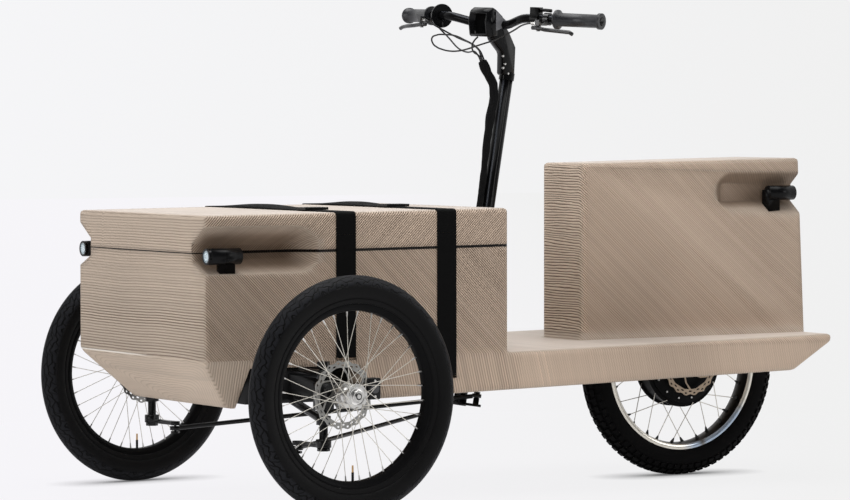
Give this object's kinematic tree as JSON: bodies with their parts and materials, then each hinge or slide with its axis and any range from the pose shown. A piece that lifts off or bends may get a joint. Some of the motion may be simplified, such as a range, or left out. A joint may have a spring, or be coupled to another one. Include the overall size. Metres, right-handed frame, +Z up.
{
  "type": "electric tricycle",
  "caption": "Cargo tricycle with two steered front wheels, a printed body with a strapped lid, a handlebar on a leaning column and a motor-driven rear wheel.",
  "frame": {"origin": "on the ground, below the middle of the vehicle's length and width", "axes": "+X towards the front, +Y to the rider's left, +Z up"},
  "size_m": [1.8243, 1.1865, 1.196],
  "materials": {
    "printed_plastic": "layered printed texture, matte",
    "black_paint": "satin black",
    "black_plastic": "fine-grained black",
    "tyre": "black, moulded tread",
    "rubber": "matt black",
    "webbing": "woven black webbing",
    "bright_steel": "bright, lightly brushed",
    "chrome": "polished",
    "lens_glass": "clear"
  },
  "bodies": {
    "body": {"printed_body": "printed_plastic", "belly_cover": "black_plastic", "battery": "black_plastic", "column_bearing": "black_paint", "front_frame": "black_paint", "rear_frame": "black_paint", "rear_axle": "bright_steel", "rear_caliper": "black_paint", "front_lamp_left": "black_plastic", "front_lamp_right": "black_plastic", "front_lens_left": "lens_glass", "front_lens_right": "lens_glass", "tail_lamp_left": "black_plastic", "tail_lamp_right": "black_plastic", "strap_side_front_left": "webbing", "strap_side_front_right": "webbing", "strap_side_rear_left": "webbing", "strap_side_rear_right": "webbing"},
    "lid": {"lid": "printed_plastic", "strap_top_front": "webbing", "strap_top_rear": "webbing", "buckle_front": "black_plastic", "buckle_rear": "black_plastic"},
    "steering": {"steering_column": "black_paint", "stem": "black_paint", "handlebar": "black_paint", "grip_left": "rubber", "grip_right": "rubber", "brake_perch_left": "black_paint", "brake_perch_right": "black_paint", "switch_block": "black_plastic", "display": "black_plastic", "cable_sleeve": "webbing", "brake_cable_left": "rubber", "brake_cable_right": "rubber", "throttle_cable": "rubber", "display_cable": "rubber", "steering_plate": "black_paint"},
    "brake_lever_left": {"brake_lever_left": "black_paint"},
    "brake_lever_right": {"brake_lever_right": "black_paint"},
    "thumb_lever": {"thumb_lever": "black_plastic"},
    "throttle_ring": {"throttle_ring": "black_plastic"},
    "drag_link_left": {"drag_link_left": "black_paint"},
    "drag_link_right": {"drag_link_right": "black_paint"},
    "knuckle_left": {"knuckle_left": "black_paint", "front_caliper_left": "black_paint"},
    "knuckle_right": {"knuckle_right": "black_paint", "front_caliper_right": "black_paint"},
    "front_wheel_left": {"front_tyre_left": "tyre", "front_rim_left": "black_paint", "front_hub_left": "bright_steel", "front_disc_left": "bright_steel"},
    "front_wheel_right": {"front_tyre_right": "tyre", "front_rim_right": "black_paint", "front_hub_right": "bright_steel", "front_disc_right": "bright_steel"},
    "rear_wheel": {"rear_tyre": "tyre", "rear_rim": "chrome", "rear_hub_motor": "black_paint", "rear_disc": "bright_steel"}
  },
  "joints": [
    {"name": "lid_lift", "type": "slide", "parent": "body", "child": "lid", "axis": [0, 0, 1], "range_m": [0, 0.12], "deforming": ["strap_side_front_left", "strap_side_front_right", "strap_side_rear_left", "strap_side_rear_right"]},
    {"name": "steering_turn", "type": "hinge", "parent": "body", "child": "steering", "pos_m": [0.022, 0, 0.205], "axis": [-0.1668, 0, 0.986], "range_deg": [-46.2, 19.8]},
    {"name": "brake_lever_left_pull", "type": "hinge", "parent": "steering", "child": "brake_lever_left", "pos_m": [-0.06584, 0.22902, 1.12917], "axis": [-0.0116, 0.052, 0.9986], "range_deg": [0, 20], "stiffness_Nm_per_rad": 0.6},
    {"name": "brake_lever_right_pull", "type": "hinge", "parent": "steering", "child": "brake_lever_right", "pos_m": [0.02762, -0.17512, 1.14498], "axis": [0.0048, -0.0224, -0.9997], "range_deg": [0, 20], "stiffness_Nm_per_rad": 0.6},
    {"name": "thumb_lever_swing", "type": "hinge", "parent": "steering", "child": "thumb_lever", "pos_m": [-0.09163, 0.18899, 1.17332], "axis": [-0.0116, 0.052, 0.9986], "range_deg": [-15, 15], "stiffness_Nm_per_rad": 0.1},
    {"name": "throttle_turn", "type": "hinge", "parent": "steering", "child": "throttle_ring", "pos_m": [-0.01598, -0.15545, 1.16614], "axis": [-0.0273, -0.9994, 0.0222], "range_deg": [0, 60], "stiffness_Nm_per_rad": 0.1},
    {"name": "drag_link_left_swing", "type": "hinge", "parent": "steering", "child": "drag_link_left", "pos_m": [0.03769, -0.05501, 0.1896], "axis": [-0.1667, -0.018, 0.9858], "range_deg": [-19.8, 46.2]},
    {"name": "drag_link_right_swing", "type": "hinge", "parent": "steering", "child": "drag_link_right", "pos_m": [0.00531, 0.05501, 0.22632], "axis": [-0.1668, 0.013, 0.9859], "range_deg": [-19.8, 46.2]},
    {"name": "kingpin_left_turn", "type": "hinge", "parent": "body", "child": "knuckle_left", "pos_m": [0.649, 0.446, 0.277], "axis": [0, 0, 1], "range_deg": [-23.1, 9.9]},
    {"name": "kingpin_right_turn", "type": "hinge", "parent": "body", "child": "knuckle_right", "pos_m": [0.649, -0.446, 0.277], "axis": [0, 0, 1], "range_deg": [-23.1, 9.9]},
    {"name": "front_wheel_left_spin", "type": "hinge", "parent": "knuckle_left", "child": "front_wheel_left", "pos_m": [0.62501, 0.5405, 0.277], "axis": [-0.0732, 0.9973, 0], "continuous": true},
    {"name": "front_wheel_right_spin", "type": "hinge", "parent": "knuckle_right", "child": "front_wheel_right", "pos_m": [0.64315, -0.54332, 0.277], "axis": [-0.1149, 0.9934, 0], "continuous": true},
    {"name": "rear_wheel_spin", "type": "hinge", "parent": "body", "child": "rear_wheel", "pos_m": [-0.622, 0, 0.284], "axis": [0, 1, 0], "continuous": true}
  ],
  "couplings": [
    {"joint": "drag_link_left_swing", "follows": "steering_turn", "ratio": -1},
    {"joint": "drag_link_right_swing", "follows": "steering_turn", "ratio": -1},
    {"joint": "kingpin_left_turn", "follows": "steering_turn", "ratio": 0.5},
    {"joint": "kingpin_right_turn", "follows": "steering_turn", "ratio": 0.5}
  ]
}
